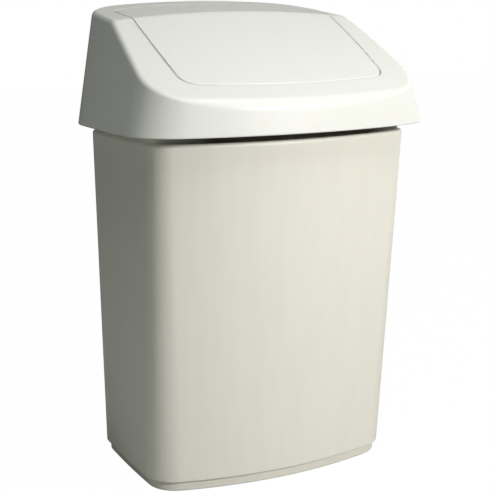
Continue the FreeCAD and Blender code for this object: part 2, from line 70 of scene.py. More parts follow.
def growing(start, stop, count):
    # count angles from start towards stop whose steps grow by a constant ratio
    share = (steps["growth"] ** np.arange(count + 1) - 1) / (steps["growth"] ** count - 1)
    return start + (stop - start) * share


def outline(shape, inset=0.0):
    # Arcs and lines that meet without a corner. A point is its arc's centre plus the radius
    # times (cos a, sin a); moved inward, every arc keeps its centre and gives up the inset.
    # The steps crowd together at y = 30, where the ridge of the roof crosses the sides.
    bulge, side = shape["bulge"], sides["bulge"]
    front, rear = shape["frontCorner"], shape["rearCorner"]
    frontMid = np.array([0.0, bulge - shape["front"]])
    sideMid = np.array([shape["halfWidth"] - side, sides["widest"]])
    cornerMid = circlesMeet(frontMid, bulge - front, sideMid, side - front)
    rearY = shape["rear"] - rear
    reach = np.sqrt((side - rear) ** 2 - (rearY - sideMid[1]) ** 2)
    rearMid = np.array([sideMid[0] + reach, rearY])
    frontTurn = np.arctan2(cornerMid[1] - frontMid[1], cornerMid[0] - frontMid[0])
    sideTurn = np.arctan2(cornerMid[1] - sideMid[1], cornerMid[0] - sideMid[0])
    ridgeTurn = np.arcsin((roof["ridgeY"] - sideMid[1]) / side)
    rearTurn = np.arctan2(rearMid[1] - sideMid[1], rearMid[0] - sideMid[0])
    arcs = [
        (frontMid, bulge, np.linspace(-np.pi / 2, frontTurn, steps["front"] + 1)[:-1]),
        (cornerMid, front, np.linspace(frontTurn, sideTurn, steps["frontCorner"] + 1)[:-1]),
        (sideMid, side, growing(ridgeTurn, sideTurn, steps["frontSide"])[:0:-1]),
        (sideMid, side, growing(ridgeTurn, rearTurn, steps["rearSide"])[:-1]),
        (rearMid, rear, np.linspace(rearTurn, np.pi / 2, steps["rearCorner"] + 1)),
    ]
    points, normals = [], []
    for middle, radius, angles in arcs:
        direction = np.column_stack([np.cos(angles), np.sin(angles)])
        points.append(middle + (radius - inset) * direction)
        normals.append(direction)
    x = np.linspace(points[-1][-1, 0], 0.0, steps["rear"] + 1)[1:]
    points.append(np.column_stack([x, np.full_like(x, shape["rear"] - inset)]))
    normals.append(np.tile([0.0, 1.0], (len(x), 1)))
    points, normals = np.vstack(points), np.vstack(normals)
    flip = np.array([-1.0, 1.0])
    points = np.vstack([points, (points * flip)[-2:0:-1]])
    normals = np.vstack([normals, (normals * flip)[-2:0:-1]])
    return points, normals


# ---- the crowned roof ----

roof = {"ridgeY": 30.0, "ridgeZ": 498.5, "crown": 1322.0, "slope": 27.6, "top": 6.6,
        "bow": 2400.0, "frontEnd": 150.5, "bowEnd": 60.0, "ridgeBlend": 1.472}


def roofHeight(x, y, drop=0.0):
    # the side profile is a bowed slope up to the ridge and a nearly level line behind it,
    # eased into each other by a parabola; turned about an axis along Y far below, the height
    # is the axis height plus the root of (profile radius^2 - x^2). Behind bowEnd the bow is
    # held level, as it lies above the top line there and isn't used.
    ridge = roof["crown"]
    back = ridge + (y - roof["ridgeY"]) * np.tan(np.radians(roof["top"]))
    run = roof["frontEnd"] + roof["ridgeY"]
    fall = run * np.tan(np.radians(roof["slope"]))
    chord = np.hypot(run, fall)
    lean = np.sqrt(roof["bow"] ** 2 - (chord / 2) ** 2) / chord
    bowY = roof["ridgeY"] - run / 2 + fall * lean
    bowR = ridge - fall / 2 - run * lean
    front = bowR + np.sqrt(roof["bow"] ** 2 - (np.minimum(y, roof["bowEnd"]) - bowY) ** 2)
    gap = front - back
    width = roof["ridgeBlend"]
    ease = np.clip(0.5 + gap / (2 * width), 0.0, 1.0)
    radius = front + (back - front) * ease - width * ease * (1 - ease) - drop
    return roof["ridgeZ"] - roof["crown"] + np.sqrt(radius ** 2 - x ** 2)


def roofNormal(x, y):
    # square to the two slopes, each taken over a tenth of a millimetre
    h = 0.05
    slopeX = (roofHeight(x + h, y) - roofHeight(x - h, y)) / (2 * h)
    slopeY = (roofHeight(x, y + h) - roofHeight(x, y - h)) / (2 * h)
    normal = np.column_stack([-slopeX, -slopeY, np.ones_like(x)])
    return normal / np.linalg.norm(normal, axis=1)[:, None]


# ---- rows of points and meshes ----

def between(low, high, z):
    # straight walls between two outlines: every point and normal is mixed by its height
    share = (z - low["height"]) / (high["height"] - low["height"])
    lowPoints, lowNormals = outline(low)
    highPoints, highNormals = outline(high)
    points = lowPoints + (highPoints - lowPoints) * np.reshape(share, (-1, 1))
    flat = lowNormals + (highNormals - lowNormals) * np.reshape(share, (-1, 1))
    flat /= np.linalg.norm(flat, axis=1)[:, None]
    lean = ((highPoints - lowPoints) * flat).sum(axis=1) / (high["height"] - low["height"])
    normals = np.column_stack([flat, -lean])
    normals /= np.linalg.norm(normals, axis=1)[:, None]
    z = np.broadcast_to(np.reshape(z, -1), (len(points),))
    return np.column_stack([points, z]), normals


def wallRow(low, high, z, inset=0.0):
    # a level row on the leaning wall, moved straight inward by the inset
    points, normals = between(low, high, z)
    flat = normals[:, :2] / np.linalg.norm(normals[:, :2], axis=1)[:, None]
    points[:, :2] -= flat * inset
    return points


def levelRow(shape, z, inset=0.0):
    points, _ = outline(shape, inset)
    return np.column_stack([points, np.full(len(points), z)])


def roofRow(points, drop=0.0):
    # the same places seen from above, lifted to the roof
    return np.column_stack([points[:, :2], roofHeight(points[:, 0], points[:, 1], drop)])


def mixRows(first, last, shares):
    return [first + (last - first) * share for share in shares]


def eased(count):
    # shares from 0 to 1 that crowd at both ends, leaving out both ends
    share = np.linspace(0.0, 1.0, count + 2)[1:-1]
    return share * share * (3 - 2 * share)


def putMesh(name, body, rows, wearAndPaintedLight=None, closed=True, poles=(None, None)):
    # A grid of rows, joined round in both directions, or ended in a fan at a pole. The value
    # of each row, one number or one per point, goes into an attribute the materials read:
    # above zero it lightens rubbed rims, partly wear and partly a painted highlight; below zero
    # it is painted shade in grooves and gaps.
    count = len(rows[0])
    points = np.vstack(rows)
    rowNumber = np.arange(len(rows) if closed else len(rows) - 1)[:, None]
    column = np.arange(count)[None, :]
    nextColumn = (column + 1) % count
    nextRow = (rowNumber + 1) % len(rows)
    quads = np.stack([rowNumber * count + column, rowNumber * count + nextColumn,
                      nextRow * count + nextColumn, nextRow * count + column], axis=-1)
    faces = quads.reshape(-1, 4).tolist()
    wearValues = np.concatenate([np.broadcast_to(value, count) for value in wearAndPaintedLight or [0.0] * len(rows)])
    for end, pole in enumerate(poles):
        if pole is None:
            continue
        tip = len(points)
        points = np.vstack([points, [pole]])
        wearValues = np.append(wearValues, 0.0)
        ring = np.arange(count) + (0 if end == 0 else (len(rows) - 1) * count)
        after = np.roll(ring, -1)
        pairs = (after, ring) if end == 0 else (ring, after)
        faces += np.column_stack([pairs[0], pairs[1], np.full(count, tip)]).tolist()
    mesh = bpy.data.meshes.new(name)
    mesh.from_pydata((points * 0.001).tolist(), [], faces)
    mesh.polygons.foreach_set("use_smooth", np.ones(len(mesh.polygons), dtype=bool))
    mesh.attributes.new("wearAndPaintedLight", "FLOAT", "POINT").data.foreach_set("value", wearValues)
    mesh.update()
    piece = bpy.data.objects.new(name, mesh)
    scene.collection.objects.link(piece)
    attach(piece, body)
    return piece


scene = bpy.context.scene

# ---- hood ----

hood = {"wall": 2.5, "frontEdge": 17.0, "sideEdge": 6.4, "edgeTurn": 108.0, "edgeFade": 28.0,
        "lowest": 384.0, "highest": 515.0, "wallFoot": 383.2, "rim": 381.0,
        "gap": 0.9, "lip": 2.2, "lipDepth": 9.8, "openingEdge": 0.6,
        "seatLow": 393.3, "seatHigh": 395.7, "seatLip": 381.3, "lipOuter": 8.1, "lipInner": 10.3}


def edgeRadius(points):
    # the hood's top edge is broad along the front and tighter along the sides and the rear:
    # the radius slides from one to the other round the front corners
    forward = np.clip(-(points[:, 1] + hood["edgeTurn"]) / hood["edgeFade"], 0.0, 1.0)
    forward = forward * forward * (3 - 2 * forward)
    return hood["sideEdge"] + (hood["frontEdge"] - hood["sideEdge"]) * forward


def roundedTop(wall, drop, radius, count):
    # A ball of the edge's radius is pushed up along the leaning wall until it touches the
    # roof: halving finds the height where the gap to the roof, measured square to it, is one
    # radius. The rounded edge is the arc of that ball from the wall's normal to the roof's.
    low, high = np.full(len(radius), hood["lowest"]), np.full(len(radius), hood["highest"])
    for _ in range(40):
        z = (low + high) / 2
        points, normals = between(skirt, crest, z)
        centre = points - normals * (radius + wall)[:, None]
        up = roofNormal(centre[:, 0], centre[:, 1])
        room = (roofHeight(centre[:, 0], centre[:, 1], drop) - centre[:, 2]) * up[:, 2] - radius
        low, high = np.where(room > 0, z, low), np.where(room > 0, high, z)
    spread = np.arccos(np.clip((normals * up).sum(axis=1), -1, 1))[:, None]
    rows = []
    for share in np.linspace(0.0, 1.0, count):
        direction = (normals * np.sin((1 - share) * spread) + up * np.sin(share * spread))
        direction /= np.sin(spread)
        rows.append(centre + direction * radius[:, None])
    return rows


paintedShadeBand = {"turn": 72.0, "fade": 32.0}


def groove(row, depth):
    # painted shade: the groove under the skirt is darkened along the front, fading out round the corners
    return -depth * np.clip(-(row[:, 1] + paintedShadeBand["turn"]) / paintedShadeBand["fade"], 0.0, 1.0)


def bullNose(low, high, z, wall, count):
    # the wall's lower edge is a half circle as wide as the wall, from the inside round to
    # the outside
    rows = []
    for angle in np.linspace(np.pi, 0.0, count):
        inset = wall / 2 * (1 - np.cos(angle))
        rows.append(wallRow(low, high, z + wall / 2 * (1 - np.sin(angle)), inset))
    return rows


noseRows = bullNose(skirt, crest, hood["rim"], hood["wall"], 9)
outerEdge = roundedTop(np.zeros(len(noseRows[0])), 0.0, edgeRadius(noseRows[0]), 17)
innerEdge = roundedTop(np.full(len(noseRows[0]), hood["wall"]), hood["wall"],
                       edgeRadius(noseRows[0]) - hood["wall"], 9)
opening = levelRow(flapLine, 0.0, -hood["gap"])
openingWide = levelRow(flapLine, 0.0, -hood["gap"] - hood["openingEdge"])
lipBack = levelRow(flapLine, 0.0, -hood["gap"] - hood["lip"])

hoodRows, hoodWearAndPaintedLight = [], []


def addRows(rows, wearAndPaintedLight):
    hoodRows.extend(rows)
    hoodWearAndPaintedLight.extend([wearAndPaintedLight] * len(rows))


# the rims get a lighter colour by their value: partly rubbing wear, partly a painted highlight, the skirt's
# lower edge most of all
addRows(noseRows, 1.0)
addRows([wallRow(skirt, crest, hood["wallFoot"])], 0.5)
for share in eased(14):
    # each wall row stands at the same share of the way up to the rounded edge
    height = hood["wallFoot"] + (outerEdge[0][:, 2] - hood["wallFoot"]) * share
    addRows([between(skirt, crest, height)[0]], 0.0)
addRows(outerEdge, 0.25)
start = roofRow(outerEdge[-1])
addRows([roofRow(row) for row in mixRows(start, openingWide, eased(16))], 0.0)
addRows([roofRow(mixRows(start, openingWide, [0.985])[0])], 0.1)
for angle in np.linspace(0.0, np.pi / 2, 5):
    edge = hood["openingEdge"]
    row = levelRow(flapLine, 0.0, -hood["gap"] - edge + edge * np.sin(angle))
    addRows([roofRow(row) - np.array([0, 0, edge * (1 - np.cos(angle))])], 0.7)
depth = np.array([0, 0, hood["lipDepth"]])
# the lip going down into the gap round the flap is darkened with painted shade
addRows([roofRow(opening) - depth * share for share in (0.2, 0.6, 0.96)], -0.5)
addRows([roofRow(levelRow(flapLine, 0.0, -hood["gap"] - 0.4)) - depth,
         roofRow(levelRow(flapLine, 0.0, -hood["gap"] - hood["lip"] + 0.4)) - depth], 0.2)
addRows([roofRow(lipBack) - depth * 0.96], 0.0)
innerStart = roofRow(innerEdge[-1], hood["wall"])
innerLip = roofRow(lipBack, hood["wall"])
addRows([innerLip - np.array([0, 0, 0.6])], 0.0)
addRows([roofRow(row, hood["wall"]) for row in mixRows(innerLip, innerStart, [0.01, 0.35, 0.7])], 0.0)
addRows(innerEdge[::-1], 0.0)
for share in (0.8, 0.5, 0.25, 0.08):
    # the band near the lower edge faces the groove above the bucket's shoulder; its lowest rows along the
    # front are darkened with painted shade
    height = hood["wallFoot"] + (innerEdge[0][:, 2] - hood["wallFoot"]) * share
    points, normals = between(skirt, crest, height)
    flat = normals[:, :2] / np.linalg.norm(normals[:, :2], axis=1)[:, None]
    points[:, :2] -= flat * hood["wall"]
    addRows([points], groove(points, 0.9 if share < 0.3 else 0.0))
hoodShell = putMesh("hoodShell", "hood", hoodRows, hoodWearAndPaintedLight)
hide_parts("hood")
print("hood shell:", len(hoodShell.data.polygons), "faces")

# the level web that rests on the bucket's rim, and the lip that keeps the hood central
seatRows = [
    wallRow(skirt, crest, hood["seatHigh"], hood["wall"] / 2),
    levelRow(mouth, hood["seatHigh"], hood["lipInner"] + 1.0),
    levelRow(mouth, hood["seatHigh"] - 0.3, hood["lipInner"] + 0.3),
    levelRow(mouth, hood["seatHigh"] - 1.0, hood["lipInner"]),
    levelRow(mouth, hood["seatLip"] + 1.0, hood["lipInner"]),
    levelRow(mouth, hood["seatLip"] + 0.2, hood["lipInner"] - 0.3),
    levelRow(mouth, hood["seatLip"], hood["lipInner"] - 1.0),
    levelRow(mouth, hood["seatLip"] + 0.4, hood["lipOuter"] + 0.2),
    levelRow(mouth, hood["seatLip"] + 1.2, hood["lipOuter"]),
    levelRow(mouth, hood["seatLow"], hood["lipOuter"]),
    levelRow(mouth, hood["seatLow"], hood["lipOuter"] - 0.3),
    wallRow(skirt, crest, hood["seatLow"], hood["wall"] / 2),
]
hoodSeat = putMesh("hoodSeat", "hood", seatRows)
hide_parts("hood")

ledge = {"halfWidth": 98.0, "inner": 91.0, "outer": 102.5, "high": 7.4, "low": 9.8, "chamfer": 0.5}


def slabRows(xs, outlinePoints):
    # a closed outline of (y, drop) pairs carried across the bin on the curve of the roof
    rows = []
    for x in xs:
        y, drop = outlinePoints[:, 0], outlinePoints[:, 1]
        across = np.full(len(y), x)
        rows.append(np.column_stack([across, y, roofHeight(across, y) - drop]))
    return rows


inner, outer, chamfer = ledge["inner"], ledge["outer"], ledge["chamfer"]
ledgeOutline = np.array([
    [inner, ledge["high"] + chamfer], [inner, ledge["low"] - chamfer],
    [inner + chamfer, ledge["low"]], [outer, ledge["low"]],
    [outer, ledge["high"]], [inner + chamfer, ledge["high"]]])
ledgeRows = slabRows(np.linspace(-ledge["halfWidth"], ledge["halfWidth"], 33), ledgeOutline)
rearLedge = putMesh("rearLedge", "hood", ledgeRows, closed=False,
                    poles=(ledgeRows[0].mean(axis=0), ledgeRows[-1].mean(axis=0)))
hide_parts("hood")

pivot = {"y": 30.0, "z": 478.0, "chamfer": 0.5}


def hangingPlate(name, body, start, wall, radius, drop, node):
    # a plate with a half-round lower end about the pivot, its upper end on the underside of
    # the roof; the outline is the same on both faces, with a small chamfer between
    angles = np.linspace(np.pi, 2 * np.pi, 25)
    rows = []
    cut, end = pivot["chamfer"], start + wall
    for x, shrink in ((start, cut), (start + cut, 0.0), (end - cut, 0.0), (end, cut)):
        y = pivot["y"] + (radius - shrink) * np.cos(angles)
        z = pivot["z"] + (radius - shrink) * np.sin(angles)
        topY = np.linspace(y[-1], y[0], 9)
        topZ = roofHeight(np.full(9, x), topY) - drop
        ys, zs = np.concatenate([y, topY]), np.concatenate([z, topZ])
        rows.append(np.column_stack([np.full(len(ys), x), ys, zs]))
    plate = putMesh(name, body, rows, closed=False,
                    poles=(rows[0].mean(axis=0), rows[-1].mean(axis=0)))
    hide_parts(node)
    return plate


hoodParts = [hoodShell, hoodSeat, rearLedge,
             hangingPlate("rightBracket", "hood", 120.0, 5.0, 10.0, 1.25, "hood"),
             hangingPlate("leftBracket", "hood", -125.0, 5.0, 10.0, 1.25, "hood")]
print("hood fittings:", len(hoodParts) - 1)

# ---- swing flap ----

flap = {"wall": 2.4, "edgeDepth": 7.0, "edgeWall": 2.0, "edge": 0.6, "centre": (0.0, 30.0)}


def roofDisc(rim, drop, shares):
    # rings that shrink from the rim towards a point on the ridge, each lifted to the roof
    middle = np.array([flap["centre"][0], flap["centre"][1], 0.0])
    return [roofRow(middle + (rim - middle) * share, drop) for share in shares]


flapRim = levelRow(flapLine, 0.0, flap["edge"])
flapRows = roofDisc(flapRim, 0.0, np.linspace(0.03, 0.97, 40))
flapRows += roofDisc(flapRim, 0.0, [0.993])
flapWearAndHighlight = [0.0] * len(flapRows)
# the flap's rounded rim is lightened: partly rubbing wear, partly a painted highlight
for angle in np.linspace(0.0, np.pi / 2, 6):
    row = roofRow(levelRow(flapLine, 0.0, flap["edge"] * (1 - np.sin(angle))))
    flapRows.append(row - np.array([0, 0, flap["edge"] * (1 - np.cos(angle))]))
    flapWearAndHighlight.append(0.7)
outerFace, innerFace = levelRow(flapLine, 0.0), levelRow(flapLine, 0.0, flap["edgeWall"])
flapRows += [roofRow(outerFace, 0.0) - np.array([0, 0, d]) for d in (1.6, 4.0, 6.5)]
flapRows += [roofRow(levelRow(flapLine, 0.0, inset)) - np.array([0, 0, flap["edgeDepth"]])
             for inset in (0.5, flap["edgeWall"] - 0.5)]
flapRows += [roofRow(innerFace) - np.array([0, 0, d]) for d in (6.5, 4.5, flap["wall"] + 0.5)]
flapRows += roofDisc(levelRow(flapLine, 0.0, flap["edgeWall"] + 0.5), flap["wall"],
                     np.linspace(1.0, 0.04, 26))
flapWearAndHighlight += [0.0] * (len(flapRows) - len(flapWearAndHighlight))
centre = np.array([[flap["centre"][0], flap["centre"][1]]])
topPole = np.append(centre[0], roofHeight(centre[:, 0], centre[:, 1]))
underPole = np.append(centre[0], roofHeight(centre[:, 0], centre[:, 1], flap["wall"]))
# the rows run from the middle of the top outward, so they are turned round to face outward
flapPanel = putMesh("flapPanel", "flap", flapRows[::-1], flapWearAndHighlight[::-1], closed=False,
                    poles=(underPole, topPole))
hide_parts("swing_flap")
flapParts = [flapPanel,
             hangingPlate("rightLug", "flap", 110.5, 5.0, 9.5, 1.2, "swing_flap"),
             hangingPlate("leftLug", "flap", -115.5, 5.0, 9.5, 1.2, "swing_flap")]


saddle = {"half": 9.0, "corner": 3.0, "barY": 80.0, "barZ": 488.0, "halfWall": 2.5, "sink": 1.2}


def saddlePlate(name, middle):
    # a rounded rectangle in side view, standing across the bar, up to the flap's underside
    half, corner, barY, barZ = saddle["half"], saddle["corner"], saddle["barY"], saddle["barZ"]
    turns = np.linspace(0, np.pi / 2, 7)
    lowLeft = np.column_stack([barY - half + corner - corner * np.cos(turns),
                               barZ - half + corner - corner * np.sin(turns)])
    lowRight = np.column_stack([barY + half - corner + corner * np.sin(turns),
                                barZ - half + corner - corner * np.cos(turns)])
    rows = []
    for x in (middle - saddle["halfWall"], middle + saddle["halfWall"]):
        topY = np.linspace(barY + half, barY - half, 7)
        top = np.column_stack([topY, roofHeight(np.full(7, x), topY) - saddle["sink"]])
        side = np.vstack([lowLeft, lowRight, top])
        rows.append(np.column_stack([np.full(len(side), x), side]))
    plate = putMesh(name, "flap", rows, closed=False,
                    poles=(rows[0].mean(axis=0), rows[-1].mean(axis=0)))
    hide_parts("swing_flap")
    return plate


flapParts += [saddlePlate("leftSaddle", -80.0), saddlePlate("middleSaddle", 0.0),
              saddlePlate("rightSaddle", 80.0)]
print("flap:", len(flapPanel.data.polygons), "faces,", len(flapParts) - 1, "fittings")

# ---- bucket ----

bucket = {"wall": 2.2, "floor": 2.6, "shoulder": 4.0, "neckInset": 5.0, "rim": 393.0,
          "spigotInset": 6.95, "spigotLow": 2.2, "footEdge": 1.2, "ledge": 14.2, "fillet": 3.0,
          "groove": 8.0, "middleY": 17.5}

# the bottom is a shallow tray that stands in the foot ring, a step narrower than the walls
underMiddle = np.array([0.0, bucket["middleY"], bucket["spigotLow"]])
underRing = levelRow(base, bucket["spigotLow"], bucket["spigotInset"] + 0.5)
bucketRows = mixRows(underMiddle, underRing, (0.15, 0.4, 0.7, 0.97, 1.0))
bucketRows += [levelRow(base, bucket["spigotLow"] + 0.5, bucket["spigotInset"]),
               levelRow(base, base["height"] - 0.3, bucket["spigotInset"])]
# the foot edge, shoulder and rim rows are lightened: partly rubbing wear, partly a painted highlight
bucketWearAndPaintedLight = [0.0] * 7 + [0.8] * 5
for angle in np.linspace(0.0, np.pi / 2, 5):
    edge = bucket["footEdge"]
    bucketRows.append(wallRow(base, mouth, base["height"] + edge * (1 - np.cos(angle)),
                              edge * (1 - np.sin(angle))))
wallStart = base["height"] + bucket["footEdge"]
shoulderFoot = mouth["height"] - bucket["shoulder"]
for share in np.concatenate([[0.006], np.linspace(0.03, 0.97, 22), [0.994]]):
    z = wallStart + (shoulderFoot - wallStart) * share
    bucketRows.append(wallRow(base, mouth, z))
    bucketWearAndPaintedLight.append(0.0)
for angle in np.linspace(0.0, np.pi / 2, 9):
    radius = bucket["shoulder"]
    z = shoulderFoot + radius * np.sin(angle)
    bucketRows.append(wallRow(base, mouth, z, radius * (1 - np.cos(angle))))
    bucketWearAndPaintedLight.append(0.6)
bucketRows += [levelRow(mouth, mouth["height"], bucket["neckInset"] - 0.4),
               levelRow(mouth, mouth["height"] + 0.4, bucket["neckInset"]),
               levelRow(mouth, mouth["height"] + bucket["groove"], bucket["neckInset"]),
               levelRow(mouth, mouth["height"] + bucket["groove"] + 3.0, bucket["neckInset"]),
               levelRow(mouth, bucket["rim"] - 1.6, bucket["neckInset"])]
# the neck rows under the skirt are darkened along the front with painted shade
bucketWearAndPaintedLight += [groove(row, 1.0) for row in bucketRows[-5:-2]] + [0.0] * 2
for angle in np.linspace(0.0, np.pi, 9):
    half = bucket["wall"] / 2
    bucketRows.append(levelRow(mouth, bucket["rim"] - half + half * np.sin(angle),
                               bucket["neckInset"] + half * (1 - np.cos(angle))))
    bucketWearAndPaintedLight.append(0.6)
neckInside = bucket["neckInset"] + bucket["wall"]
bucketRows += [levelRow(mouth, bucket["rim"] - 1.6, neckInside),
               levelRow(mouth, mouth["height"] - 1.8, neckInside),
               levelRow(mouth, mouth["height"] - bucket["wall"], neckInside - 0.4)]
insideTop = mouth["height"] - bucket["wall"] - 1.0
for share in np.concatenate([[0.0, 0.01], np.linspace(0.05, 0.95, 12), [0.99]]):
    z = insideTop + (bucket["ledge"] + bucket["fillet"] - insideTop) * share
    bucketRows.append(wallRow(base, mouth, z, bucket["wall"]))
for angle in np.linspace(0.0, np.pi / 2, 7):
    bucketRows.append(wallRow(base, mouth, bucket["ledge"] + bucket["fillet"] * (1 - np.sin(angle)),
                              bucket["wall"] + bucket["fillet"] * (1 - np.cos(angle))))
trayInset = bucket["spigotInset"] + bucket["wall"]
trayFloor = bucket["spigotLow"] + bucket["floor"]
bucketRows += [levelRow(base, bucket["ledge"], trayInset - 0.5),
               levelRow(base, bucket["ledge"] - 0.5, trayInset)]
for angle in np.linspace(0.0, np.pi / 2, 7):
    bucketRows.append(levelRow(base, trayFloor + bucket["fillet"] * (1 - np.sin(angle)),
                               trayInset + bucket["fillet"] * (1 - np.cos(angle))))
floorMiddle = np.array([0.0, bucket["middleY"], trayFloor])
bucketRows += mixRows(floorMiddle, bucketRows[-1], (0.97, 0.7, 0.4, 0.15))
bucketWearAndPaintedLight += [0.0] * (len(bucketRows) - len(bucketWearAndPaintedLight))
bucketShell = putMesh("bucketShell", "bucket", bucketRows, bucketWearAndPaintedLight, closed=False,
                      poles=(underMiddle, floorMiddle))
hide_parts("bucket")
print("bucket:", len(bucketShell.data.polygons), "faces")

# ---- foot ring ----

foot = {"inset": 4.4, "wall": 2.4, "flange": 9.0, "flangeWall": 2.2, "edge": 2.6, "top": 10.8}

footRows = [levelRow(base, foot["edge"] * (1 - np.cos(angle)),
                     foot["inset"] + foot["edge"] * (1 - np.sin(angle)))
            for angle in np.linspace(0.0, np.pi / 2, 9)]
# the foot ring's rounded edges are lightened: partly rubbing wear, partly a painted highlight
footWearAndHighlight = [0.7] * 9
wallInside = foot["inset"] + foot["wall"]
flangeEnd = wallInside + foot["flange"]
footRows += [levelRow(base, foot["edge"] + 0.5, foot["inset"]),
             levelRow(base, foot["top"] - 0.9, foot["inset"]),
             levelRow(base, foot["top"] - 0.4, foot["inset"]),
             levelRow(base, foot["top"], foot["inset"] + 0.4),
             levelRow(base, foot["top"], wallInside),
             levelRow(base, foot["flangeWall"], wallInside),
             levelRow(base, foot["flangeWall"], flangeEnd - 0.3),
             levelRow(base, foot["flangeWall"] - 0.3, flangeEnd),
             levelRow(base, 0.3, flangeEnd),
             levelRow(base, 0.0, flangeEnd - 0.3)]
footWearAndHighlight += [0.0, 0.0, 0.6, 0.6] + [0.0] * 6
footRing = putMesh("footRing", "bucket", footRows, footWearAndHighlight)
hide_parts("foot_ring")
print("foot ring:", len(footRing.data.polygons), "faces")

# ---- node groups and materials ----


def newGroup(name, inputs, outputs):
    group = bpy.data.node_groups.new(name, "ShaderNodeTree")
    for label, kind, value in inputs:
        socket = group.interface.new_socket(label, in_out="INPUT", socket_type="NodeSocket" + kind)
        socket.default_value = value
    for label, kind in outputs:
        group.interface.new_socket(label, in_out="OUTPUT", socket_type="NodeSocket" + kind)
    return group, group.nodes.new("NodeGroupInput"), group.nodes.new("NodeGroupOutput")


def addNode(tree, kind, settings=None, **sockets):
    node = tree.nodes.new("ShaderNode" + kind)
    for key, value in (settings or {}).items():
        setattr(node, key, value)
    for key, value in sockets.items():
        numbered = key[0] == "n" and key[1:].isdigit()
        target = node.inputs[int(key[1:]) if numbered else key.replace("_", " ")]
        if isinstance(value, bpy.types.NodeSocket):
            tree.links.new(value, target)
        else:
            target.default_value = value
    return node


def mouldedGrain():
    # fine spark-eroded grain of a mould: two noises, the finer at half strength, as a height
    group, source, out = newGroup(
        "mouldedGrain", [("Vector", "Vector", (0, 0, 0)), ("Scale", "Float", 900.0)], [("Height", "Float")])
    coarse = addNode(group, "TexNoise", Vector=source.outputs["Vector"],
                     Scale=source.outputs["Scale"], Detail=2.0)
    finer = addNode(group, "Math", {"operation": "MULTIPLY"}, n0=source.outputs["Scale"], n1=2.7)
    fine = addNode(group, "TexNoise", Vector=source.outputs["Vector"], Scale=finer.outputs[0], Detail=1.0)
    half = addNode(group, "Math", {"operation": "MULTIPLY"}, n0=fine.outputs[0], n1=0.5)
    total = addNode(group, "Math", {"operation": "ADD"}, n0=coarse.outputs[0], n1=half.outputs[0])
    group.links.new(total.outputs[0], out.inputs["Height"])
    return group


def rimWearAndPaintedLight():
    # rims that get rubbed: the attribute of wear and painted light broken up by a blotchy noise, as a mask;
    # the lighter colour it brings is partly rubbing wear, partly a painted highlight. Where the attribute
    # is negative it marks grooves and gaps darkened with painted shade, given as a second mask
    group, source, out = newGroup(
        "rimWearAndPaintedLight", [("Vector", "Vector", (0, 0, 0)), ("Amount", "Float", 0.5)],
        [("Mask", "Float"), ("PaintedShade", "Float")])
    wornAndPaintedLight = addNode(group, "Attribute", {"attribute_name": "wearAndPaintedLight"})
    blotch = addNode(group, "TexNoise", Vector=source.outputs["Vector"], Scale=42.0, Detail=4.0)
    sharp = addNode(group, "MapRange", Value=blotch.outputs[0])
    sharp.inputs["From Min"].default_value = 0.35
    sharp.inputs["From Max"].default_value = 0.7
    product = addNode(group, "Math", {"operation": "MULTIPLY"}, n0=wornAndPaintedLight.outputs["Fac"], n1=sharp.outputs[0])
    scaled = addNode(group, "Math", {"operation": "MULTIPLY", "use_clamp": True},
                     n0=product.outputs[0], n1=source.outputs["Amount"])
    paintedShade = addNode(group, "Math", {"operation": "MULTIPLY", "use_clamp": True},
                    n0=wornAndPaintedLight.outputs["Fac"], n1=-1.0)
    group.links.new(scaled.outputs[0], out.inputs["Mask"])
    group.links.new(paintedShade.outputs[0], out.inputs["PaintedShade"])
    return group


def faintMottle():
    # slow drifts of shade, as where the melt flowed into the mould, plus sparse dust specks
    group, source, out = newGroup(
        "faintMottle", [("Vector", "Vector", (0, 0, 0)), ("Flow", "Float", 0.5), ("Specks", "Float", 0.3)],
        [("Shade", "Float"), ("Dust", "Float")])
    slow = addNode(group, "TexNoise", Vector=source.outputs["Vector"], Scale=6.0, Detail=3.0, Distortion=0.6)
    shade = addNode(group, "Math", {"operation": "MULTIPLY"}, n0=slow.outputs[0], n1=source.outputs["Flow"])
    specks = addNode(group, "TexVoronoi", Vector=source.outputs["Vector"], Scale=210.0)
    small = addNode(group, "MapRange", Value=specks.outputs["Distance"])
    small.inputs["From Min"].default_value = 0.16
    small.inputs["From Max"].default_value = 0.08
    patches = addNode(group, "TexNoise", Vector=source.outputs["Vector"], Scale=11.0, Detail=2.0)
    here = addNode(group, "MapRange", Value=patches.outputs[0])
    here.inputs["From Min"].default_value = 0.5
    here.inputs["From Max"].default_value = 0.75
    both = addNode(group, "Math", {"operation": "MULTIPLY"}, n0=small.outputs[0], n1=here.outputs[0])
    dust = addNode(group, "Math", {"operation": "MULTIPLY", "use_clamp": True},
                   n0=both.outputs[0], n1=source.outputs["Specks"])
    group.links.new(shade.outputs[0], out.inputs["Shade"])
    group.links.new(dust.outputs[0], out.inputs["Dust"])
    return group


def flowStreaks():
    # faint upright streaks left by the melt: a noise drawn out twenty-fold along Z, as a mask
    group, source, out = newGroup(
        "flowStreaks", [("Vector", "Vector", (0, 0, 0)), ("Amount", "Float", 0.3)], [("Mask", "Float")])
    drawn = addNode(group, "Mapping", Vector=source.outputs["Vector"], Scale=(1.0, 1.0, 0.05))
    lines = addNode(group, "TexNoise", Vector=drawn.outputs[0], Scale=85.0, Detail=3.0)
    sharp = addNode(group, "MapRange", Value=lines.outputs[0])
    sharp.inputs["From Min"].default_value = 0.4
    sharp.inputs["From Max"].default_value = 0.7
    scaled = addNode(group, "Math", {"operation": "MULTIPLY"},
                     n0=sharp.outputs[0], n1=source.outputs["Amount"])
    group.links.new(scaled.outputs[0], out.inputs["Mask"])
    return group


groups = {"grain": mouldedGrain(), "wearAndPaintedLight": rimWearAndPaintedLight(), "mottle": faintMottle(),
          "streaks": flowStreaks()}


